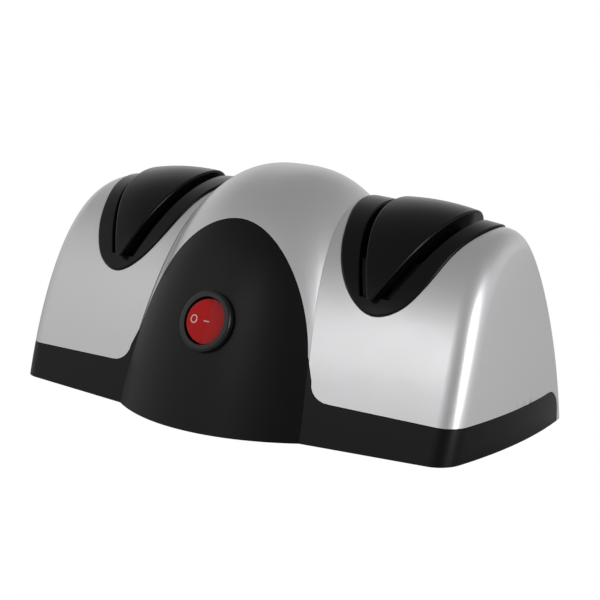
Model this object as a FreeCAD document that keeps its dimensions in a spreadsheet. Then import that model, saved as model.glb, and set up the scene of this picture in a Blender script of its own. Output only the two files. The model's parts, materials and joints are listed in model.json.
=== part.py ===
# Two-stage electric knife sharpener: silver hoods over two grinding stages, a domed middle
# with a round rocker switch in a black front, and a motor whose shaft carries both wheels.
# Millimetres. X runs along the body, -Y is the front with the switch, Z is up.
# Free-form pieces are built about the hoods' own middle and their Placement then moves them by
# body_shift and foot_lift, so that the whole stands on its feet, centred on the origin.
import FreeCAD, Part
import math
import os

from FreeCAD import Placement, Rotation, Vector

doc = FreeCAD.newDocument("knife_sharpener")
sheet = doc.addObject("Spreadsheet::Sheet", "Sizes")

SIZES = [
    # housing outline
    ("half_length", 103.9, "middle of an end face at the table, from the centre"),
    ("end_bow_radius", 185.0, "plan radius of an end face"),
    ("end_mid_x", 100.8, "end face at end_mid_z"),
    ("end_mid_z", 42.0, "height of the middle point of the end profile"),
    ("end_top_x", 96.0, "end face at end_top_z"),
    ("end_top_z", 68.0, "height of the top point of the end profile"),
    ("end_cap_z", 92.0, "end profile stops here, above the hood"),
    ("ridge_fillet", 9.0, "soft edge between a hood and its end face"),
    ("axis_y", 5.0, "motor axis from the hoods' own middle"),
    ("hood_crown_y", 12.0, "crown line of the hoods"),
    ("dome_crown_y", 7.0, "crown line of the dome"),
    ("hood_rear", 41.0, "rear of the hoods at the table"),
    ("hood_front_in", 47.6, "front of a hood at the table, at hood_in_x"),
    ("hood_front_out", 40.8, "front of a hood at the table, at hood_out_x"),
    ("hood_in_x", 43.0, "inner station of a hood"),
    ("hood_out_x", 100.0, "outer station of a hood"),
    ("hood_crown", 79.3, "crown height of the hoods' curve over the centre"),
    ("hood_drop", 0.00070, "fall of that crown per square millimetre of x"),
    ("hood_lean", 17.5, "lean of a hood's front at the table"),
    ("hood_rise", 0.70, "how long the hood keeps that lean, share of height"),
    ("hood_crown_flat", 0.50, "how long the hood's crown stays level, share of depth"),
    ("rear_lean", 9.0, "lean of the rear at the table"),
    ("rear_rise", 0.72, "how long the rear keeps that lean, share of height"),
    ("rear_crown_flat", 0.55, "how long the crown stays level behind, share of depth"),
    ("dome_front", 60.4, "front of the bulge at the table"),
    ("dome_rear", 43.6, "rear of the dome at the table"),
    ("dome_top", 88.4, "crown of the dome"),
    ("dome_side", 49.0, "half width of the dome's crown curve"),
    ("dome_power", 2.6, "2 is an ellipse, more is squarer"),
    ("dome_bow_radius", 76.7, "plan radius of the bulge"),
    ("dome_lean", 18.8, "lean of the bulge at the table"),
    ("dome_rise", 0.71, "how long the bulge keeps that lean, share of height"),
    ("dome_crown_flat", 0.50, "how long the dome's crown stays level, share of depth"),
    ("wall", 2.2, "housing wall"),
    ("foot_lift", 1.2, "gap under the base band"),
    ("seam_gap", 0.25, "reveal between the shells"),
    # black base
    ("seam_in_z", 14.4, "top of the black band beside the bulge"),
    ("seam_out_z", 12.4, "top of the black band at the ends"),
    ("seam_corner_x", 51.0, "rounded lower corner of a hood starts here"),
    ("seam_corner_z", 21.0, "and ends at this height"),
    ("seam_in_x", 42.4, "beside the bulge"),
    ("seam_taper", 8.0, "height over which the black narrows into the panel"),
    ("band_rear", 32.0, "rear end of the black band"),
    ("band_corner", 8.0, "rounded rear end of the black band"),
    ("panel_half_width", 41.0, "black front panel at panel_base_z"),
    ("panel_base_z", 10.0, "centre of the panel's elliptical outline"),
    ("panel_height", 62.7, "panel above panel_base_z"),
    # knife guides
    ("stage_x", 59.0, "middle of a grinding stage"),
    ("guide_proud", 0.7, "guide block above the hood"),
    ("guide_depth", 7.0, "guide block below the hood"),
    ("slot_floor_z", 51.4, "lower end of the slots"),
    ("slot_in_x", 1.3, "inner slot's near edge from the stage's middle"),
    ("slot_out_x", 1.3, "outer slot's near edge from the stage's middle"),
    ("slot_in_angle", 25.0, "inner slot, from upright"),
    ("slot_out_angle", 30.0, "outer slot, from upright"),
    ("slot_width", 3.8, "slot across"),
    ("blade_gap", 1.9, "gap left for the blade beside the rib"),
    ("guide_round", 0.6, "rounded outer edges of a guide block"),
    ("rib_round", 0.8, "rounded edges of a rib cover"),
    ("ledge_top_z", 63.0, "top of the ledge that narrows a slot"),
    ("ledge_sink", 1.2, "ledge below the guide block's face"),
    ("rib_crest", 3.8, "crest of the rib cover above the hood"),
    ("rib_gap", 0.15, "gap round a rib cover"),
    ("wheel_room", 1.0, "clearance cut round a wheel"),
    # drive
    ("axis_z", 36.0, "motor axis above the base band's underside"),
    ("motor_radius", 18.0, "motor can outside"),
    ("motor_length", 44.0, "motor can"),
    ("can_wall", 1.5, "motor can wall"),
    ("cap_length", 4.0, "motor end cap"),
    ("bush_radius", 6.5, "bearing bush outside"),
    ("bush_length", 7.0, "bearing bush"),
    ("shaft_radius", 2.5, "motor shaft"),
    ("shaft_half", 71.0, "half the shaft's length"),
    ("running_gap", 0.05, "radial play of the shaft in its bushes"),
    ("armature_radius", 11.5, "armature stack"),
    ("armature_length", 24.0, "armature stack"),
    ("magnet_thick", 3.8, "field magnets"),
    ("commutator_radius", 5.0, "commutator"),
    ("commutator_length", 6.0, "commutator"),
    ("brush_side", 3.0, "carbon brush across"),
    ("brush_gap", 0.05, "brush to commutator"),
    ("fan_radius", 15.0, "cooling fan"),
    ("fan_x", 33.0, "cooling fan's near face"),
    ("fan_width", 6.0, "cooling fan"),
    ("fan_disc", 1.5, "cooling fan's disc"),
    ("fan_hub", 5.0, "cooling fan's hub"),
    ("blade_count", 9, "cooling fan's blades"),
    ("wheel_radius", 21.0, "grinding wheels"),
    ("wheel_width", 5.0, "grinding wheels"),
    ("hub_radius", 9.0, "wheel flange"),
    ("hub_length", 7.0, "wheel flange and its sleeve"),
    ("hub_flange", 2.0, "wheel flange's disc"),
    ("hub_sleeve", 5.0, "wheel flange's sleeve"),
    ("nut_across", 8.0, "wheel nut across flats"),
    ("nut_height", 4.0, "wheel nut"),
    ("cradle_width", 5.0, "motor cradle's saddle"),
    ("cradle_x", 15.0, "motor cradle's saddle from the middle"),
    ("cradle_half", 16.0, "half the cradle's foot"),
    ("strap_wall", 1.2, "motor strap"),
    ("strap_width", 10.0, "motor strap"),
    # switch
    ("switch_z", 37.9, "switch centre above the base band's underside"),
    ("bezel_radius", 11.5, "switch bezel"),
    ("bezel_height", 2.2, "switch bezel above the panel"),
    ("bezel_round", 1.2, "switch bezel's rounded rim"),
    ("barrel_radius", 10.0, "switch body behind the panel"),
    ("barrel_depth", 15.0, "switch body behind the panel"),
    ("barrel_gap", 0.15, "gap round the switch body"),
    ("rocker_radius", 8.6, "rocker"),
    ("rocker_gap", 0.4, "gap round the rocker"),
    ("rocker_throw", 9.0, "rocker's tilt either way"),
    ("rocker_thick", 5.0, "rocker"),
    ("pivot_depth", 1.8, "rocker's pin below the panel"),
    ("pivot_radius", 1.2, "rocker's pin"),
    ("tab_width", 4.8, "switch terminal"),
    ("tab_thick", 0.8, "switch terminal"),
    ("tab_length", 7.0, "switch terminal"),
    ("tab_spread", 5.0, "switch terminal from the middle"),
    # base fittings
    ("plate_thick", 2.5, "bottom plate"),
    ("plate_gap", 0.25, "gap round the bottom plate"),
    ("vent_count", 5, "vent slots on each side of the motor"),
    ("vent_x", 25.0, "first vent slot from the middle"),
    ("vent_pitch", 5.0, "vent slots"),
    ("vent_width", 2.4, "vent slot across"),
    ("vent_half", 16.0, "half a vent slot's length"),
    ("foot_radius", 6.0, "rubber foot"),
    ("foot_plug", 1.0, "rubber foot let into the plate"),
    ("foot_x", 84.0, "feet from the middle"),
    ("foot_y", 25.0, "feet from the hoods' middle"),
    ("screw_radius", 1.6, "base screw's shank"),
    ("screw_length", 11.0, "base screw's shank"),
    ("head_radius", 3.1, "base screw's head"),
    ("head_height", 1.6, "base screw's head"),
    ("boss_radius", 4.0, "screw boss"),
    ("boss_height", 12.0, "screw boss"),
    ("boss_x", 62.0, "screw bosses from the middle"),
    ("boss_y", 29.0, "screw bosses from the hoods' middle"),
    ("boss_web", 2.0, "web between a boss and the wall"),
    ("gland_radius", 5.0, "cord outlet"),
    ("gland_bore", 3.4, "cord outlet's bore, radius"),
    ("gland_z", 16.0, "cord outlet's height"),
    ("gland_flange", 7.0, "cord outlet's inner flange"),
]
for row, (alias, value, note) in enumerate(SIZES, 1):
    sheet.set("A%d" % row, alias)
    sheet.set("B%d" % row, str(value))
    sheet.set("C%d" % row, note)
    sheet.setAlias("B%d" % row, alias)
last = len(SIZES) + 1
sheet.set("A%d" % last, "body_shift")
sheet.set("B%d" % last, "=(dome_front - dome_rear) / 2")
sheet.setAlias("B%d" % last, "body_shift")
doc.recompute()


def size(alias):
    return float(sheet.get(alias))


PARTS = []
TOP_Z = 120.0
ACROSS = 140.0
AXIS_Y = "Sizes.axis_y + Sizes.body_shift"
AXIS_Z = "Sizes.axis_z + Sizes.foot_lift"
ALONG_X = Rotation(Vector(0, 1, 0), 90)


# Helpers for free-form pieces
def home():
    return Placement(Vector(0, size("body_shift"), size("foot_lift")), Rotation())


def keep(name, shape):
    """A sub-part whose Shape comes from Part's own functions."""
    if shape.ShapeType == "Compound" and len(shape.Solids) == 1:
        shape = shape.Solids[0]
    item = doc.addObject("Part::Feature", name)
    item.Label = name
    item.Shape = shape
    item.Placement = home()
    item.setExpression(".Placement.Base.y", "Sizes.body_shift")
    item.setExpression(".Placement.Base.z", "Sizes.foot_lift")
    PARTS.append(item)
    return item


def box(x0, x1, y0, y1, z0, z1):
    return Part.makeBox(x1 - x0, y1 - y0, z1 - z0, Vector(x0, y0, z0))


def mirrored(shape):
    return shape.mirror(Vector(0, 0, 0), Vector(1, 0, 0))


def prism(points, y0, y1):
    """Closed outline given as (x, z) pairs, run along Y from y0 to y1."""
    corners = [Vector(x, y0, z) for x, z in points]
    wire = Part.makePolygon(corners + [corners[0]])
    return Part.Face(wire).extrude(Vector(0, y1 - y0, 0))


# Helpers for pieces made of bound primitives
def bound(item, **links):
    for prop, link in links.items():
        item.setExpression(prop, link)
    return item


def placed(item, x, y, z, turn=None):
    item.Placement = Placement(Vector(0, 0, 0), turn or Rotation())
    item.setExpression(".Placement.Base.x", x)
    item.setExpression(".Placement.Base.y", y)
    item.setExpression(".Placement.Base.z", z)
    return item


def bar(name, radius, start, length, y=AXIS_Y, z=AXIS_Z):
    """Round bar along X."""
    item = bound(doc.addObject("Part::Cylinder", name), Radius=radius, Height=length)
    return placed(item, start, y, z, ALONG_X)


def post(name, radius, height, x, y, z):
    """Round post along Z."""
    item = bound(doc.addObject("Part::Cylinder", name), Radius=radius, Height=height)
    return placed(item, x, y, z)


def block(name, length, width, height, x, y, z):
    item = bound(doc.addObject("Part::Box", name), Length=length, Width=width, Height=height)
    return placed(item, x, y, z)


def minus(name, base, tool):
    item = doc.addObject("Part::Cut", name)
    item.Base = base
    item.Tool = tool
    return item


def plus(name, items):
    item = doc.addObject("Part::MultiFuse", name)
    item.Shapes = items
    return item


def finished(item, name):
    item.Label = name
    PARTS.append(item)
    return item


# Housing surfaces
def arch(x, crown_y, top, front, rear):
    """Upright closed section at x: flat on the table, one smooth curve from the front foot over
    the crown to the rear foot. front and rear are each (foot y, lean, rise, level)."""
    def half(foot, lean, rise, level):
        reach = foot - crown_y
        tilt = math.radians(lean)
        side = 1 if reach > 0 else -1
        p0 = (foot, 0.0)
        p1 = (foot - side * rise * top * math.sin(tilt), rise * top * math.cos(tilt))
        p2 = (crown_y + reach * level, top)
        p3 = (crown_y, top)
        points = []
        for k in range(0, 9):
            t = k / 8
            w = ((1 - t) ** 3, 3 * t * (1 - t) ** 2, 3 * t * t * (1 - t), t ** 3)
            y, z = [sum(wi * p[n] for wi, p in zip(w, (p0, p1, p2, p3))) for n in (0, 1)]
            points.append(Vector(x, y, z))
        return points

    points = half(*front) + half(*rear)[-2::-1]
    curve = Part.BSplineCurve()
    curve.interpolate(points)
    return Part.Wire([curve.toShape(), Part.makeLine(points[-1], points[0])])


def end_disc(inset):
    """Big turned disc whose rim is the bowed end face."""
    middle = size("half_length") - size("end_bow_radius")
    a = Vector(size("half_length") - inset, 0, 0)
    b = Vector(size("end_mid_x") - inset, 0, size("end_mid_z"))
    c = Vector(size("end_top_x") - inset, 0, size("end_top_z"))
    circle = Part.Arc(a, b, c).toShape().Curve
    top_z = size("end_cap_z")
    top_x = circle.Center.x + math.sqrt(circle.Radius ** 2 - (top_z - circle.Center.z) ** 2)
    top = Vector(top_x, 0, top_z)
    face = Part.Face(Part.Wire([
        Part.makeLine(Vector(middle, 0, 0), a),
        Part.Arc(a, b, top).toShape(),
        Part.makeLine(top, Vector(middle, 0, top_z)),
        Part.makeLine(Vector(middle, 0, top_z), Vector(middle, 0, 0)),
    ]))
    disc = face.revolve(Vector(middle, 0, 0), Vector(0, 0, 1), 360)
    disc.rotate(Vector(middle, 0, 0), Vector(0, 0, 1), 180)
    return disc


def rear_side(foot):
    return (foot, size("rear_lean"), size("rear_rise"), size("rear_crown_flat"))


def hood_arch(x, inset, extra=0.0):
    slope = (size("hood_front_out") - size("hood_front_in")) / (size("hood_out_x") - size("hood_in_x"))
    front = size("hood_front_in") + slope * (x - size("hood_in_x"))
    top = size("hood_crown") - size("hood_drop") * x * x
    return arch(x, size("hood_crown_y"), top - inset + extra,
                (inset - extra - front, size("hood_lean"), size("hood_rise"), size("hood_crown_flat")),
                rear_side(size("hood_rear") - inset + extra))


def hood_body(inset):
    """Solid right-hand hood, drawn in by inset all round."""
    stations = (0.0, 25.0, 50.0, 75.0, 95.0, 112.0)
    body = Part.makeLoft([hood_arch(x, inset) for x in stations], True)
    body = body.common(end_disc(inset)).Solids[0]
    if inset < size("wall"):
        rim = [e for e in body.Edges if e.BoundBox.ZMax > 20 and e.BoundBox.XMin > 60]
        body = body.makeFillet(size("ridge_fillet") - inset, rim)
    return body


def dome_body(inset):
    """Solid middle dome, drawn in by inset all round."""
    bow = size("dome_bow_radius")
    wires = []
    for share in (-0.92, -0.75, -0.45, 0.0, 0.45, 0.75, 0.92):
        x = size("dome_side") * share
        sag = bow - math.sqrt(bow ** 2 - x ** 2)
        top = size("dome_top") * (1 - abs(share) ** size("dome_power")) ** (1 / size("dome_power"))
        foot = inset - (size("dome_front") - sag)
        wires.append(arch(x, size("dome_crown_y"), top - inset,
                          (foot, size("dome_lean"), size("dome_rise"), size("dome_crown_flat")),
                          rear_side(size("dome_rear") - inset)))
    return Part.makeLoft(wires, True)


def black_region(grow):
    """Space that belongs to the black base: the band round the foot and the arched front."""
    far = 120.0
    slope = (size("seam_in_z") - size("seam_out_z")) / (size("half_length") - size("seam_corner_x"))
    in_x = size("seam_in_x") + grow
    corner_x, corner_z = size("seam_corner_x"), size("seam_corner_z") + grow
    in_z = size("seam_in_z") + grow
    out_z = in_z - slope * (far - corner_x)
    half = [(far, -1.0), (far, out_z), (corner_x, in_z)]
    for k in range(1, 7):
        angle = math.radians(90 * k / 6)
        half.append((corner_x - (corner_x - in_x) * math.sin(angle),
                     in_z + (corner_z - in_z) * (1 - math.cos(angle))))
    taper_z = corner_z + size("seam_taper")
    share = (taper_z - size("panel_base_z")) / (size("panel_height") + grow)
    half.append(((size("panel_half_width") + grow) * math.sqrt(1 - share ** 2), taper_z))
    outline = half + [(-x, z) for x, z in reversed(half)]
    front = prism(outline, -80.0, -5.0)
    rear = size("band_rear") + grow
    band = prism([(-far, -1.0), (far, -1.0), (far, out_z), (corner_x, in_z),
                  (-corner_x, in_z), (-far, out_z)], -6.0, rear)
    edges = [e for e in band.Edges if e.BoundBox.YMin > rear - 0.1 and e.BoundBox.ZMin > 5]
    band = band.makeFillet(size("band_corner"), edges)
    ring = Part.Ellipse(Vector(0, size("panel_height") + grow, 0), Vector(size("panel_half_width") + grow, 0, 0),
                        Vector(0, 0, 0))
    disc = Part.Face(Part.Wire(ring.toShape()))
    disc.rotate(Vector(0, 0, 0), Vector(1, 0, 0), 90)
    disc.translate(Vector(0, -80.0, size("panel_base_z")))
    panel = disc.extrude(Vector(0, 75.0, 0))
    return front.fuse([band, panel])


# Outline of the right-hand guide block seen from the front, as (x, z)
GUIDE_OUTLINE = [
    (22.0, 86.0), (30.3, 78.5), (34.0, 74.8), (37.2, 69.2), (40.8, 62.2), (45.4, 55.4), (52.4, 48.8),
    (60.2, 45.6), (66.6, 46.8), (71.6, 50.0), (75.6, 55.0), (78.6, 60.4), (80.9, 65.8), (83.4, 70.4),
    (87.0, 74.6), (94.0, 80.0),
]


def guide_region(grow):
    """Space that belongs to the right-hand guide block: a shield seen from the front."""
    curve = Part.BSplineCurve()
    curve.interpolate([Vector(x, -80.0, z) for x, z in GUIDE_OUTLINE])
    points = []
    for x, z in GUIDE_OUTLINE:
        spot = Vector(x, -80.0, z)
        along = curve.tangent(curve.parameter(spot))[0]
        points.append(spot + Vector(along.z, 0, -along.x).normalize() * grow)
    curve.interpolate(points)
    top_in, top_out = Vector(points[0]), Vector(points[-1])
    top_in.z = top_out.z = TOP_Z
    face = Part.Face(Part.Wire([curve.toShape(), Part.makeLine(points[-1], top_out),
                                Part.makeLine(top_out, top_in), Part.makeLine(top_in, points[0])]))
    return face.extrude(Vector(0, 160.0, 0))


def slot_region(side, width):
    """Slanted slot of a right-hand stage, side -1 for the inner one and 1 for the outer one;
    width is measured from the edge beside the rib."""
    angle = math.radians(size("slot_in_angle") if side < 0 else size("slot_out_angle"))
    near = size("slot_in_x") if side < 0 else size("slot_out_x")
    across = width / math.cos(angle)
    floor = size("slot_floor_z")
    run = (TOP_Z - floor) * math.tan(angle)
    x0 = size("stage_x") + side * near
    return prism([(x0, floor), (x0 + side * run, TOP_Z), (x0 + side * (run + across), TOP_Z),
                  (x0 + side * across, floor)], -80.0, 80.0)


def rib_region(gap):
    """Space between the two slots, above their floor."""
    floor = size("slot_floor_z") + gap
    lean_in = math.tan(math.radians(size("slot_in_angle")))
    lean_out = math.tan(math.radians(size("slot_out_angle")))
    x_in = size("stage_x") - size("slot_in_x")
    x_out = size("stage_x") + size("slot_out_x")
    rise = TOP_Z - size("slot_floor_z")
    return prism([(x_in, floor), (x_out, floor), (x_out + rise * lean_out, TOP_Z),
                  (x_in - rise * lean_in, TOP_Z)], -80.0, 80.0)


# Shells
outer_hood = hood_body(0.0)
inner_hood = hood_body(size("wall"))
outer_dome = dome_body(0.0)
inner_dome = dome_body(size("wall"))
gap_dome = dome_body(-size("seam_gap"))
deep_hood = hood_body(size("guide_depth"))
black = black_region(0.0)
not_black = black_region(size("seam_gap"))
hollow = inner_dome.fuse([inner_hood, mirrored(inner_hood)])


def switch_frame():
    """Middle of the switch on the panel and the panel's direction there."""
    z = size("switch_z")
    line = Part.makeLine(Vector(0, -90, z), Vector(0, 0, z))
    spot = min((v.Point for v in outer_dome.common(line).Vertexes), key=lambda p: p.y)
    line = Part.makeLine(Vector(0, -90, z + 5), Vector(0, 0, z + 5))
    above = min((v.Point for v in outer_dome.common(line).Vertexes), key=lambda p: p.y)
    tilt = math.degrees(math.atan2(above.y - spot.y, above.z - spot.z))
    return spot, tilt


SWITCH_SPOT, SWITCH_TILT = switch_frame()
FACING = Rotation(Vector(1, 0, 0), 90 - SWITCH_TILT)


def on_panel(shape):
    """Move a shape made about the origin, looking along +Z, on to the switch's place."""
    return shape.transformed(Placement(SWITCH_SPOT, FACING).toMatrix(), True)


def base_shell():
    skin = outer_dome.fuse([outer_hood, mirrored(outer_hood)]).common(black).cut(hollow)
    hole = Part.makeCylinder(size("barrel_radius") + size("barrel_gap"), 30, Vector(0, 0, -15))
    skin = skin.cut(on_panel(hole))
    for side in (-1, 1):
        x = side * size("boss_x")
        web = box(x - size("boss_web") / 2, x + size("boss_web") / 2, -60, -size("boss_y"),
                  size("plate_thick") + size("plate_gap"), size("boss_height"))
        boss = Part.makeCylinder(size("boss_radius"), size("boss_height") - size("plate_thick"),
                                 Vector(x, -size("boss_y"), size("plate_thick")))
        hole = Part.makeCylinder(size("screw_radius"), size("boss_height"), Vector(x, -size("boss_y"), 0))
        skin = skin.fuse([web.common(outer_hood if side > 0 else mirrored(outer_hood)), boss]).cut(hole)
    return skin


def hood():
    shell = outer_hood.cut([inner_hood, gap_dome, not_black])
    shell = shell.cut(guide_region(size("seam_gap")))
    x, y = size("boss_x"), size("boss_y")
    low = size("plate_thick")
    web = box(x - size("boss_web") / 2, x + size("boss_web") / 2, y, 60, low + size("plate_gap"),
              size("boss_height") + 3).common(outer_hood)
    boss = Part.makeCylinder(size("boss_radius"), size("boss_height") - low, Vector(x, y, low))
    hole = Part.makeCylinder(size("screw_radius"), size("boss_height"), Vector(x, y, 0))
    return shell.fuse([web, boss]).cut(hole)


def dome():
    shell = outer_dome.cut([inner_dome, not_black])
    hole = Part.makeCylinder(size("gland_radius") + 0.1, 40, Vector(0, 20, size("gland_z")), Vector(0, 1, 0))
    return shell.cut(hole)


def crown_edges(shape):
    """The long outer edges that run from the front over the crown to the rear."""
    return [e for e in shape.Edges if e.Length > 60 and e.BoundBox.ZMax > 75]


def guide_block():
    block = hood_body(-size("guide_proud")).cut(deep_hood).common(guide_region(0.0))
    for side in (-1, 1):
        slot = slot_region(side, size("slot_width"))
        keep_out = slot.cut(slot_region(side, size("blade_gap")))
        low = box(0, 120, -80, 80, size("slot_floor_z"), size("ledge_top_z"))
        sunk = hood_body(size("ledge_sink"))
        block = block.cut(slot.cut(keep_out.common(low).common(sunk)))
    block = block.cut([rib_region(0.0), wheel_space()]).Solids[0]
    return block.makeFillet(size("guide_round"), crown_edges(block))


def wheel_space():
    """Room cut for the right-hand wheel to turn in."""
    half = size("wheel_width") / 2 + size("wheel_room")
    return Part.makeCylinder(size("wheel_radius") + size("wheel_room"), 2 * half,
                             Vector(size("stage_x") - half, size("axis_y"), size("axis_z")), Vector(1, 0, 0))


def rib_cover():
    """Rounded roof between the slots."""
    stage, crest = size("stage_x"), size("rib_crest")
    stations = ((stage - 24.0, 0.3), (stage - 8.0, 0.85), (stage + 2.0, 1.0), (stage + 12.0, 0.95),
                (stage + 30.0, 0.5))
    roof = Part.makeLoft([hood_arch(x, 0.0, crest * share) for x, share in stations], True)
    roof = roof.common(rib_region(size("rib_gap"))).cut([deep_hood, wheel_space()]).Solids[0]
    return roof.makeFillet(size("rib_round"), crown_edges(roof))


def bottom_plate():
    inset = size("wall") + size("plate_gap")
    under = box(-120, 120, -80, 80, 0, size("plate_thick"))
    right = hood_body(inset)
    plate = dome_body(inset).fuse([right, mirrored(right)]).common(under)
    for sx in (-1, 1):
        for sy in (-1, 1):
            x, y = sx * size("foot_x"), sy * size("foot_y")
            plate = plate.cut(Part.makeCylinder(size("foot_radius"), size("foot_plug"), Vector(x, y, 0)))
            x, y = sx * size("boss_x"), sy * size("boss_y")
            plate = plate.cut(Part.makeCylinder(size("screw_radius") + 0.1, 10, Vector(x, y, -1)))
            plate = plate.cut(Part.makeCylinder(size("head_radius") + 0.2, size("head_height"), Vector(x, y, 0)))
    for side in (-1, 1):
        for k in range(int(size("vent_count"))):
            x = side * (size("vent_x") + k * size("vent_pitch"))
            slot = box(x - size("vent_width") / 2, x + size("vent_width") / 2,
                       size("axis_y") - size("vent_half"), size("axis_y") + size("vent_half"), -1, 10)
            ends = [e for e in slot.Edges if e.BoundBox.ZLength > 5]
            plate = plate.cut(slot.makeFillet(size("vent_width") / 2 - 0.02, ends))
    return plate


RIGHT_HOOD = hood()
keep("base_shell", base_shell())
keep("bottom_plate", bottom_plate())
keep("centre_dome", dome())
keep("right_hood", RIGHT_HOOD)
keep("left_hood", mirrored(RIGHT_HOOD))
RIGHT_GUIDE = guide_block()
keep("right_guide_block", RIGHT_GUIDE)
keep("left_guide_block", mirrored(RIGHT_GUIDE))
RIGHT_RIB = rib_cover()
keep("right_rib_cover", RIGHT_RIB)
keep("left_rib_cover", mirrored(RIGHT_RIB))


# Rocker switch
def bezel():
    ring = Part.makeCylinder(size("bezel_radius"), size("bezel_height"))
    ring = ring.makeFillet(size("bezel_round"), [e for e in ring.Edges if e.BoundBox.ZMin > 0.1])
    ring = ring.cut(Part.makeCylinder(size("rocker_radius") + size("rocker_gap"), 20, Vector(0, 0, -10)))
    return on_panel(ring)


def pivot_pin(radius):
    """The rocker's pin, up the panel through the switch body's wall."""
    reach = size("barrel_radius") - size("barrel_gap")
    return Part.makeCylinder(radius, 2 * reach, Vector(0, -reach, -size("pivot_depth")), Vector(0, 1, 0))


def barrel():
    body = Part.makeCylinder(size("barrel_radius"), size("barrel_depth"), Vector(0, 0, -size("barrel_depth")))
    well = size("rocker_thick") + 2.0
    hollow = Part.makeCylinder(size("rocker_radius") + size("rocker_gap"), 20, Vector(0, 0, -well))
    return on_panel(body.cut([hollow, pivot_pin(size("pivot_radius") + size("running_gap"))]))


def rocker():
    """Disc with a shallow V across it; the pivot line runs up the panel."""
    radius = size("rocker_radius")
    low = -size("rocker_thick") + 0.8
    disc = Part.makeCylinder(radius, size("rocker_thick") + 2, Vector(0, 0, low))
    rise = radius * math.tan(math.radians(size("rocker_throw")))
    face = Part.Face(Part.makePolygon([
        Vector(-radius - 1, -12, low - 1), Vector(radius + 1, -12, low - 1),
        Vector(radius + 1, -12, 0.6 + rise), Vector(0, -12, 0.6), Vector(-radius - 1, -12, 0.6 + rise),
        Vector(-radius - 1, -12, low - 1)]))
    body = disc.common(face.extrude(Vector(0, 24, 0)))
    body.rotate(Vector(0, 0, -size("pivot_depth")), Vector(0, 1, 0), size("rocker_throw"))
    pivot = Vector(0, 0, -size("pivot_depth"))
    body = body.common(Part.makeSphere(radius + size("rocker_gap") / 3, pivot))
    return on_panel(body.fuse(pivot_pin(size("pivot_radius"))))


def terminal(side):
    half = size("tab_width") / 2
    x = side * size("tab_spread")
    tab = Part.makeBox(size("tab_thick"), size("tab_width"), size("tab_length"),
                       Vector(x - size("tab_thick") / 2, -half, -size("barrel_depth") - size("tab_length")))
    return on_panel(tab)


keep("switch_bezel", bezel())
keep("switch_barrel", barrel())
keep("switch_rocker", rocker())
keep("left_switch_terminal", terminal(-1))
keep("right_switch_terminal", terminal(1))


# Motor
def motor():
    can = minus("can_cut", bar("can_outer", "Sizes.motor_radius", "-Sizes.motor_length / 2", "Sizes.motor_length"),
                bar("can_inner", "Sizes.motor_radius - Sizes.can_wall", "-Sizes.motor_length", "2 * Sizes.motor_length"))
    finished(can, "motor_can")
    for side, name in ((-1, "left"), (1, "right")):
        edge = "Sizes.motor_length / 2" if side > 0 else "-Sizes.motor_length / 2 - Sizes.cap_length"
        cap = minus(name + "_cap_cut", bar(name + "_cap_disc", "Sizes.motor_radius", edge, "Sizes.cap_length"),
                    bar(name + "_cap_bore", "Sizes.bush_radius", "-100", "200"))
        finished(cap, name + "_end_cap")
        start = ("Sizes.motor_length / 2 + (Sizes.cap_length - Sizes.bush_length) / 2" if side > 0 else
                 "-Sizes.motor_length / 2 - (Sizes.cap_length + Sizes.bush_length) / 2")
        bush = minus(name + "_bush_cut", bar(name + "_bush_outer", "Sizes.bush_radius", start, "Sizes.bush_length"),
                     bar(name + "_bush_bore", "Sizes.shaft_radius + Sizes.running_gap", "-100", "200"))
        finished(bush, name + "_bush")
    finished(bar("shaft_bar", "Sizes.shaft_radius", "-Sizes.shaft_half", "2 * Sizes.shaft_half"), "motor_shaft")
    stack = minus("stack_cut", bar("stack_outer", "Sizes.armature_radius", "-Sizes.armature_length / 2 + 3",
                                   "Sizes.armature_length"),
                  bar("stack_bore", "Sizes.shaft_radius", "-100", "200"))
    finished(stack, "armature")
    comm = minus("comm_cut", bar("comm_outer", "Sizes.commutator_radius", "-17", "Sizes.commutator_length"),
                 bar("comm_bore", "Sizes.shaft_radius", "-100", "200"))
    finished(comm, "commutator")


def brushes():
    reach = size("motor_radius") - size("can_wall") - size("commutator_radius") - size("brush_gap")
    for side, name in ((-1, "front_brush"), (1, "rear_brush")):
        inner = size("commutator_radius") + size("brush_gap")
        y = size("axis_y") + (inner if side > 0 else -inner - reach)
        half = size("brush_side") / 2
        brush = box(-14 - half, -14 + half, y, y + reach, size("axis_z") - half, size("axis_z") + half)
        keep(name, brush.common(tube(size("motor_radius") - size("can_wall"), 0, -40, 40)))


def tube(outer, inner, x0, x1):
    spot = Vector(x0, size("axis_y"), size("axis_z"))
    shape = Part.makeCylinder(outer, x1 - x0, spot, Vector(1, 0, 0))
    if inner:
        shape = shape.cut(Part.makeCylinder(inner, x1 - x0, spot, Vector(1, 0, 0)))
    return shape


def magnets():
    outer = size("motor_radius") - size("can_wall")
    half = size("armature_length") / 2
    ring = tube(outer, outer - size("magnet_thick"), 3 - half, 3 + half)
    y, z = size("axis_y"), size("axis_z")
    keep("upper_magnet", ring.common(box(-60, 60, y - 40, y + 40, z + 5, z + 40)))
    keep("lower_magnet", ring.common(box(-60, 60, y - 40, y + 40, z - 40, z - 5)))


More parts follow.
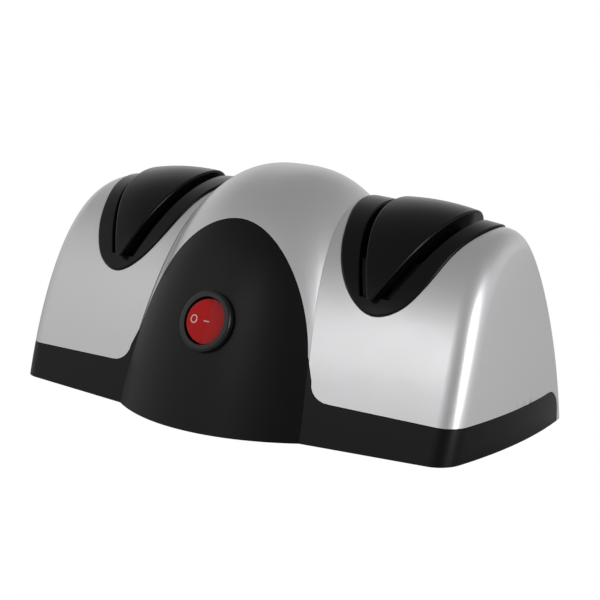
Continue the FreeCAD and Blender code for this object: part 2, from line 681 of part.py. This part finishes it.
def fan():
    x = size("fan_x")
    disc = tube(size("fan_radius"), size("shaft_radius"), x, x + size("fan_disc"))
    hub = tube(size("fan_hub"), size("shaft_radius"), x, x + size("fan_width"))
    y, z = size("axis_y"), size("axis_z")
    wheel = disc.fuse(hub)
    blades = []
    for k in range(int(size("blade_count"))):
        blade = Part.makeBox(size("fan_width"), 1.0, size("fan_radius") - size("fan_hub") + 0.5,
                             Vector(x, y - 0.5, z + size("fan_hub") - 0.5))
        blade.rotate(Vector(x, y, z), Vector(1, 0, 0), 360.0 * k / size("blade_count"))
        blades.append(blade)
    keep("cooling_fan", wheel.fuse(blades).common(tube(size("fan_radius"), 0, x, x + size("fan_width"))))


def wheels():
    for side, hand, wheel_name in ((-1, "left", "fine_wheel"), (1, "right", "coarse_wheel")):
        middle = side * size("stage_x")
        half = size("wheel_width") / 2
        wheel = tube(size("wheel_radius"), size("hub_sleeve"), middle - half, middle + half)
        keep(wheel_name, wheel)
        inside = middle - side * half
        flange = sorted((inside, inside - side * size("hub_flange")))
        sleeve = sorted((inside - side * size("hub_flange"), middle + side * half))
        hub = tube(size("hub_radius"), size("shaft_radius"), *flange)
        hub = hub.fuse(tube(size("hub_sleeve"), size("shaft_radius"), *sleeve))
        keep(hand + "_wheel_hub", hub)
        nut_x = middle + half if side > 0 else middle - half - size("nut_height")
        corner = size("nut_across") / 2 / math.cos(math.radians(30))
        y, z = size("axis_y"), size("axis_z")
        ring = [Vector(nut_x, y + corner * math.cos(math.radians(60 * k)),
                       z + corner * math.sin(math.radians(60 * k))) for k in range(6)]
        nut = Part.Face(Part.makePolygon(ring + [ring[0]])).extrude(Vector(size("nut_height"), 0, 0))
        nut = nut.cut(tube(size("shaft_radius"), 0, nut_x - 1, nut_x + size("nut_height") + 1))
        keep(hand + "_wheel_nut", nut)


def cradle():
    y, z = size("axis_y"), size("axis_z")
    half = size("cradle_half")
    top = z - 6.0
    saddles = []
    for side in (-1, 1):
        x = side * size("cradle_x")
        saddles.append(box(x - size("cradle_width") / 2, x + size("cradle_width") / 2,
                           y - half, y + half, size("plate_thick"), top))
    foot = box(-size("cradle_x"), size("cradle_x"), y - half, y + half, size("plate_thick"), size("plate_thick") + 3)
    keep("motor_cradle", foot.fuse(saddles).cut(tube(size("motor_radius"), 0, -60, 60)))


def strap():
    y, z = size("axis_y"), size("axis_z")
    outer = size("motor_radius") + size("strap_wall")
    half = size("strap_width") / 2
    loop = tube(outer, size("motor_radius"), -half, half).common(box(-30, 30, y - 40, y + 40, z, z + 40))
    legs = []
    for side in (-1, 1):
        inner = side * size("motor_radius")
        far = side * outer
        low, high = sorted((y + inner, y + far))
        legs.append(box(-half, half, low, high, size("plate_thick"), z))
    keep("motor_strap", loop.fuse(legs))


motor()
brushes()
magnets()
fan()
wheels()
cradle()
strap()


# Feet, base screws and cord outlet
def feet_and_screws():
    for sx, hand in ((-1, "left"), (1, "right")):
        for sy, end in ((-1, "front"), (1, "rear")):
            x = "%d * Sizes.foot_x" % sx
            y = "%d * Sizes.foot_y + Sizes.body_shift" % sy
            name = "%s_%s_foot" % (hand, end)
            foot = post(name + "_pad", "Sizes.foot_radius - 0.05", "Sizes.foot_lift + Sizes.foot_plug", x, y, "0")
            finished(foot, name)
            x = "%d * Sizes.boss_x" % sx
            y = "%d * Sizes.boss_y + Sizes.body_shift" % sy
            name = "%s_%s_screw" % (hand, end)
            head = post(name + "_head", "Sizes.head_radius", "Sizes.head_height", x, y, "Sizes.foot_lift")
            shank = post(name + "_shank", "Sizes.screw_radius", "Sizes.screw_length", x, y, "Sizes.foot_lift")
            drive = block(name + "_drive", "0.8", "2 * Sizes.head_radius", "0.8", x + " - 0.4",
                          y + " - Sizes.head_radius", "Sizes.foot_lift")
            finished(minus(name + "_cut", plus(name + "_whole", [head, shank]), drive), name)


def gland():
    z = size("gland_z")
    ahead = Vector(0, 1, 0)
    wall_y = max(v.Point.y for v in outer_dome.common(Part.makeLine(Vector(0, 0, z), Vector(0, 90, z))).Vertexes)
    rear = size("dome_rear")
    body = Part.makeCylinder(size("gland_radius"), rear - wall_y + 9.0, Vector(0, wall_y - 9.0, z), ahead)
    flange = Part.makeCylinder(size("gland_flange"), 3.0, Vector(0, wall_y - 9.0, z), ahead)
    bore = Part.makeCylinder(size("gland_bore"), 40, Vector(0, wall_y - 20, z), ahead)
    keep("cord_gland", body.fuse(flange).cut(bore))


feet_and_screws()
gland()

doc.recompute()

# Check and write every sub-part
for item in doc.Objects:
    if "Invalid" in item.State or "Error" in item.State:
        raise RuntimeError("%s is %s" % (item.Name, item.State))
os.makedirs("parts", exist_ok=True)
for item in PARTS:
    if item.Shape.isNull() or not item.Shape.isValid() or len(item.Shape.Solids) != 1:
        raise RuntimeError("%s has a bad shape: %d solids" % (item.Label, len(item.Shape.Solids)))
    item.Shape.exportStep("parts/%s.step" % item.Label)
print(len(PARTS), "parts, switch at", SWITCH_SPOT, "tilt", round(SWITCH_TILT, 2))
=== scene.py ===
# Electric knife sharpener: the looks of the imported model.
import json
import math

import bpy
from mathutils import Matrix, Vector


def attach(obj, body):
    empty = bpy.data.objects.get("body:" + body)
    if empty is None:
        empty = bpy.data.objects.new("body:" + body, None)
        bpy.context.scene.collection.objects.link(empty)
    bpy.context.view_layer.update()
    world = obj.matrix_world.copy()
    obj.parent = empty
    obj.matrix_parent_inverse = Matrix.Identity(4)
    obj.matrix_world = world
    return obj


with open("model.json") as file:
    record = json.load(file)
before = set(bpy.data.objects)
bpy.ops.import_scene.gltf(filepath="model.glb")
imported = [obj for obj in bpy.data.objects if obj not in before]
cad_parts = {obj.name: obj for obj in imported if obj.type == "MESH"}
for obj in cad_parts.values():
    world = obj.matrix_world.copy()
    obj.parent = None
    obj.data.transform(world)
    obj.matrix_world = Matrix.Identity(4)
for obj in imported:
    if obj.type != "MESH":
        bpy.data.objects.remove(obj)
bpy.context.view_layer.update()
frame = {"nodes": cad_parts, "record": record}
nodes = frame["nodes"]

# The housing's own frame stands this far from the row frame, in metres
BODY_SHIFT = 0.0084
FOOT_LIFT = 0.0012


# Camera, solved from the photograph's base outline; angles in radians, lengths in metres
CAMERA_AZIMUTH = 0.6505
CAMERA_ELEVATION = 0.2415
CAMERA_DISTANCE = 0.76624
CAMERA_TARGET = Vector((0.000238, BODY_SHIFT, 0.03511 + FOOT_LIFT))
CAMERA_LENS_MM = 120.68
CAMERA_SHIFT = (0.02395, 0.00813)


def make_camera():
    level = math.cos(CAMERA_ELEVATION)
    ahead = Vector((-math.sin(CAMERA_AZIMUTH) * level, math.cos(CAMERA_AZIMUTH) * level,
                    -math.sin(CAMERA_ELEVATION)))
    data = bpy.data.cameras.new("camera")
    data.sensor_width = 36.0
    data.lens = CAMERA_LENS_MM
    data.shift_x, data.shift_y = CAMERA_SHIFT
    data.clip_start, data.clip_end = 0.05, 50.0
    camera = bpy.data.objects.new("camera", data)
    camera.location = CAMERA_TARGET - ahead * CAMERA_DISTANCE
    camera.rotation_mode = "QUATERNION"
    camera.rotation_quaternion = ahead.to_track_quat("-Z", "Y")
    bpy.context.scene.collection.objects.link(camera)
    bpy.context.scene.camera = camera


# Node-tree helpers
def new_material(name):
    material = bpy.data.materials.new(name)
    material.use_nodes = True
    tree = material.node_tree
    return material, tree.nodes, tree.links, tree.nodes["Principled BSDF"]


def add_node(tree_nodes, kind, **values):
    """A new shader node; values set its named inputs, or a property when it has no such input."""
    node = tree_nodes.new(kind)
    for key, value in values.items():
        if key in node.inputs:
            node.inputs[key].default_value = value
        else:
            setattr(node, key, value)
    return node


def noise_input(tree_nodes, links, scale, detail=3.0):
    place = tree_nodes.new("ShaderNodeTexCoord")
    noise = add_node(tree_nodes, "ShaderNodeTexNoise", Scale=scale, Detail=detail)
    links.new(place.outputs["Object"], noise.inputs["Vector"])
    return noise


def vary(tree_nodes, links, noise, low, high, socket):
    """Drive a shader socket between two values by a noise."""
    span = add_node(tree_nodes, "ShaderNodeMapRange")
    span.inputs["To Min"].default_value = low
    span.inputs["To Max"].default_value = high
    links.new(noise.outputs["Fac"], span.inputs["Value"])
    links.new(span.outputs["Result"], socket)


def bump(tree_nodes, links, noise, distance, strength, shader):
    node = add_node(tree_nodes, "ShaderNodeBump", Strength=strength, Distance=distance)
    links.new(noise.outputs["Fac"], node.inputs["Height"])
    links.new(node.outputs["Normal"], shader.inputs["Normal"])


COAT_ROUGHNESS = 0.12
GLOSS_PATCH_SCALE = 60.0
GLOSS_SWING = 0.08
GRAIN_STRENGTH = 0.25


def plastic(name, colour, rough, grain_scale, grain_depth, coat=0.0, metallic=0.0, specular=0.5):
    """Moulded or painted surface: base colour, uneven gloss and a fine grain."""
    material, tree_nodes, links, shader = new_material(name)
    shader.inputs["Base Color"].default_value = (*colour, 1.0)
    shader.inputs["Metallic"].default_value = metallic
    shader.inputs["Coat Weight"].default_value = coat
    shader.inputs["Specular IOR Level"].default_value = specular
    shader.inputs["Coat Roughness"].default_value = COAT_ROUGHNESS
    broad = noise_input(tree_nodes, links, GLOSS_PATCH_SCALE)
    low, high = rough * (1.0 - GLOSS_SWING), rough * (1.0 + GLOSS_SWING)
    vary(tree_nodes, links, broad, low, high, shader.inputs["Roughness"])
    fine = noise_input(tree_nodes, links, grain_scale, 2.0)
    bump(tree_nodes, links, fine, grain_depth, GRAIN_STRENGTH, shader)
    return material


GRIT_SHARES = (0.35, 0.65)
GRIT_ROUGHNESS = 0.85
GRIT_DEPTH = 0.0004
GRIT_STRENGTH = 0.6


def abrasive(name, dark, pale, scale):
    """Bonded grit: speckled colour and a coarse bump."""
    material, tree_nodes, links, shader = new_material(name)
    noise = noise_input(tree_nodes, links, scale, 6.0)
    ramp = tree_nodes.new("ShaderNodeValToRGB")
    for stop, share, colour in zip(ramp.color_ramp.elements, GRIT_SHARES, (dark, pale)):
        stop.position = share
        stop.color = (*colour, 1.0)
    links.new(noise.outputs["Fac"], ramp.inputs["Fac"])
    links.new(ramp.outputs["Color"], shader.inputs["Base Color"])
    shader.inputs["Roughness"].default_value = GRIT_ROUGHNESS
    bump(tree_nodes, links, noise, GRIT_DEPTH, GRIT_STRENGTH, shader)
    return material


# Materials, each for one slot of the part; LEGEND is for the printed signs
SILVER = plastic("satin_silver_paint", (0.56, 0.56, 0.57), 0.36, 5200.0, 0.00002, 0.3, 0.75)
BLACK = plastic("satin_black_moulding", (0.002, 0.002, 0.0022), 0.34, 3800.0, 0.00003, specular=0.16)
GUIDE = plastic("glossy_black_guide", (0.003, 0.003, 0.0032), 0.20, 3000.0, 0.00001, specular=0.16)
SWITCH = plastic("black_switch_moulding", (0.006, 0.006, 0.0065), 0.30, 3000.0, 0.00002, specular=0.3)
RED = plastic("red_rocker_plastic", (0.36, 0.002, 0.002), 0.20, 2500.0, 0.00001, specular=0.14)
RUBBER = plastic("soft_black_rubber", (0.02, 0.02, 0.02), 0.80, 2500.0, 0.00005)
STEEL = plastic("bright_steel", (0.55, 0.55, 0.57), 0.30, 4000.0, 0.00002, 0.0, 1.0)
BRASS = plastic("plain_brass", (0.72, 0.52, 0.22), 0.32, 4000.0, 0.00002, 0.0, 1.0)
IRON = plastic("dark_magnet", (0.06, 0.06, 0.065), 0.55, 3000.0, 0.00004)
INNER = plastic("pale_inner_moulding", (0.72, 0.72, 0.70), 0.5, 3000.0, 0.00003)
COARSE = abrasive("coarse_grit", (0.16, 0.15, 0.14), (0.55, 0.52, 0.47), 1400.0)
LEGEND = plastic("pale_switch_print", (0.62, 0.38, 0.36), 0.45, 3000.0, 0.00002)

BY_SLOT = {
    "silver_shell": SILVER,
    "black_shell": BLACK,
    "black_guide": GUIDE,
    "red_rocker": RED,
    "black_switch": SWITCH,
    "rubber_foot": RUBBER,
    "steel_part": STEEL,
    "brass_part": BRASS,
    "magnet_iron": IRON,
    "grit_wheel": COARSE,
    "white_inner": INNER,
}


def paint_nodes():
    for part in frame["record"]["subparts"]:
        item = nodes[part["node"]]
        item.data.materials.clear()
        item.data.materials.append(BY_SLOT[part["material_slot"]])


# Surroundings: brightness by height from straight down (0) to straight up (1), and by closeness
# to the dark patch's direction
SURROUND_STRENGTH = 0.90
SURROUND_BY_HEIGHT = [(0.0, 0.75), (0.5, 0.80), (0.60, 0.96), (0.74, 0.80), (0.86, 0.42), (1.0, 0.36)]
DARK_AZIMUTH = 0.62
DARK_PATCH = [(0.0, 1.0), (0.72, 1.0), (0.93, 0.30), (1.0, 0.22)]


def fill_ramp(ramp, stops):
    ramp.interpolation = "EASE"
    while len(ramp.elements) < len(stops):
        ramp.elements.new(0.5)
    for element, (position, value) in zip(ramp.elements, stops):
        element.position = position
        element.color = (value, value, value, 1.0)


# Switch: the middle of the bezel on the front panel, and the rocker at rest
SWITCH_SPOT = Vector((0.0, -0.0464826 + BODY_SHIFT, 0.0379 + FOOT_LIFT))
SWITCH_TILT = math.radians(23.05)
PIVOT_DEPTH = 0.0018
THROW = math.radians(9.0)
ROCKER_MIDDLE = 0.0006

# Legends printed on the rocker, in its face's own directions
PRINT_LIFT = 0.00008
RING_STEPS = 40
RING_MIDDLE = -0.0052
RING_OUTER = (0.00125, 0.0016)
RING_INNER = (0.00085, 0.0012)
DASH_ENDS = (-0.0014, 0.0008)
DASH_HALF = 0.00022


def rocker_point(across, up, lift):
    """A point on the rocker's face in the row frame; across and up run over the face."""
    local = Vector((across, up, ROCKER_MIDDLE + abs(across) * math.tan(THROW) + lift))
    local.z += PIVOT_DEPTH
    local = Matrix.Rotation(THROW, 3, "Y") @ local
    local.z -= PIVOT_DEPTH
    turn = Matrix.Rotation(math.pi / 2 - SWITCH_TILT, 3, "X")
    return SWITCH_SPOT + turn @ local


def middle_of(outline):
    count = len(outline)
    return sum(x for x, _ in outline) / count, sum(y for _, y in outline) / count


def print_on_rocker(name, outline, hole=None):
    """Thin raised legend between an outline and an optional inner outline of as many points."""
    inner = hole or [middle_of(outline)]
    count = len(outline)
    low = count + len(inner)
    verts = [rocker_point(x, y, PRINT_LIFT) for x, y in outline]
    verts += [rocker_point(x, y, PRINT_LIFT) for x, y in inner]
    verts += [rocker_point(x, y, -PRINT_LIFT) for x, y in outline]
    faces = []
    for k in range(count):
        after = (k + 1) % count
        if hole:
            faces.append((k, after, count + after, count + k))
        else:
            faces.append((k, after, count))
        faces.append((low + k, low + after, after, k))
    mesh = bpy.data.meshes.new(name)
    mesh.from_pydata(verts, [], faces)
    mesh.materials.append(LEGEND)
    legend = bpy.data.objects.new(name, mesh)
    bpy.context.scene.collection.objects.link(legend)
    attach(legend, "rocker")


def oval(across, up):
    turns = [2 * math.pi * k / RING_STEPS for k in range(RING_STEPS)]
    return [(RING_MIDDLE + across * math.cos(turn), up * math.sin(turn)) for turn in turns]


def make_legends():
    left, right = DASH_ENDS
    dash = [(left, -DASH_HALF), (right, -DASH_HALF), (right, DASH_HALF), (left, DASH_HALF)]
    print_on_rocker("rocker_ring_legend", oval(*RING_OUTER), oval(*RING_INNER))
    print_on_rocker("rocker_dash_legend", dash)


# Floor, backdrop and lights
FLOOR_HALF = 3.0
FLOOR_COLOUR = (0.85, 0.85, 0.85)
FLOOR_ROUGHNESS = 0.9


def mix_for_camera(tree, lit, seen, surface):
    """Show one shader to camera rays and the other to all the rest."""
    rays = tree.nodes.new("ShaderNodeLightPath")
    mix = tree.nodes.new("ShaderNodeMixShader")
    tree.links.new(rays.outputs["Is Camera Ray"], mix.inputs["Fac"])
    tree.links.new(lit, mix.inputs[1])
    tree.links.new(seen, mix.inputs[2])
    tree.links.new(mix.outputs["Shader"], surface)


def make_stage():
    """A floor that lights the object as a pale surface and is seen as plain white."""
    material, tree_nodes, _, shader = new_material("white_floor")
    shader.inputs["Base Color"].default_value = (*FLOOR_COLOUR, 1.0)
    shader.inputs["Roughness"].default_value = FLOOR_ROUGHNESS
    glow = tree_nodes.new("ShaderNodeEmission")
    mix_for_camera(material.node_tree, shader.outputs["BSDF"], glow.outputs["Emission"],
                   tree_nodes["Material Output"].inputs["Surface"])
    mesh = bpy.data.meshes.new("floor")
    signs = [(-1, -1), (1, -1), (1, 1), (-1, 1)]
    mesh.from_pydata([(FLOOR_HALF * x, FLOOR_HALF * y, 0) for x, y in signs], [], [(0, 1, 2, 3)])
    mesh.materials.append(material)
    floor = bpy.data.objects.new("floor", mesh)
    bpy.context.scene.collection.objects.link(floor)


def brightness_by_height(tree, place):
    parts = tree.nodes.new("ShaderNodeSeparateXYZ")
    tree.links.new(place.outputs["Generated"], parts.inputs["Vector"])
    height = add_node(tree.nodes, "ShaderNodeMapRange")
    height.inputs["From Min"].default_value = -1.0
    tree.links.new(parts.outputs["Z"], height.inputs["Value"])
    ramp = tree.nodes.new("ShaderNodeValToRGB")
    fill_ramp(ramp.color_ramp, SURROUND_BY_HEIGHT)
    tree.links.new(height.outputs["Result"], ramp.inputs["Fac"])
    return ramp.outputs["Color"]


def dark_patch(tree, place):
    towards = tree.nodes.new("ShaderNodeVectorMath")
    towards.operation = "DOT_PRODUCT"
    towards.inputs[1].default_value = (math.sin(DARK_AZIMUTH), -math.cos(DARK_AZIMUTH), 0.0)
    tree.links.new(place.outputs["Generated"], towards.inputs[0])
    patch = tree.nodes.new("ShaderNodeValToRGB")
    fill_ramp(patch.color_ramp, DARK_PATCH)
    tree.links.new(towards.outputs["Value"], patch.inputs["Fac"])
    return patch.outputs["Color"]


def make_world():
    """Studio surroundings: bright sides, a grey ceiling and a dark patch in front of the ridge."""
    world = bpy.data.worlds.new("studio")
    world.use_nodes = True
    bpy.context.scene.world = world
    tree = world.node_tree
    backdrop = tree.nodes["Background"]
    backdrop.inputs["Strength"].default_value = SURROUND_STRENGTH
    place = tree.nodes.new("ShaderNodeTexCoord")
    both = tree.nodes.new("ShaderNodeMix")
    both.data_type = "RGBA"
    both.blend_type = "MULTIPLY"
    both.inputs["Factor"].default_value = 1.0
    tree.links.new(brightness_by_height(tree, place), both.inputs["A"])
    tree.links.new(dark_patch(tree, place), both.inputs["B"])
    tree.links.new(both.outputs["Result"], backdrop.inputs["Color"])
    seen = tree.nodes.new("ShaderNodeBackground")
    seen.inputs["Color"].default_value = (1.0, 1.0, 1.0, 1.0)
    seen.inputs["Strength"].default_value = 1.0
    mix_for_camera(tree, backdrop.outputs["Background"], seen.outputs["Background"],
                   tree.nodes["World Output"].inputs["Surface"])


def area_light(name, place, aim, wide, tall, power):
    data = bpy.data.lights.new(name, "AREA")
    data.shape = "RECTANGLE"
    data.size, data.size_y = wide, tall
    data.energy = power
    light = bpy.data.objects.new(name, data)
    light.location = place
    light.rotation_mode = "QUATERNION"
    light.rotation_quaternion = (Vector(aim) - Vector(place)).to_track_quat("-Z", "Y")
    bpy.context.scene.collection.objects.link(light)


# Lamps: name, place, point aimed at, width, height and watts
LAMPS = [
    ("key", (-0.9, -0.9, 0.7), (0.0, 0.0, 0.04), 0.5, 0.5, 0.5),
    ("front", (-0.32, -1.10, 0.62), (0.0, 0.0, 0.04), 0.30, 0.30, 0.9),
    ("right", (1.1, -0.35, 0.45), (0.05, 0.0, 0.04), 0.35, 0.6, 6.5),
]


def make_lights():
    for lamp in LAMPS:
        area_light(*lamp)


scene = bpy.context.scene
scene.view_settings.view_transform = "Standard"
make_camera()
paint_nodes()
make_legends()
make_stage()
make_world()
make_lights()
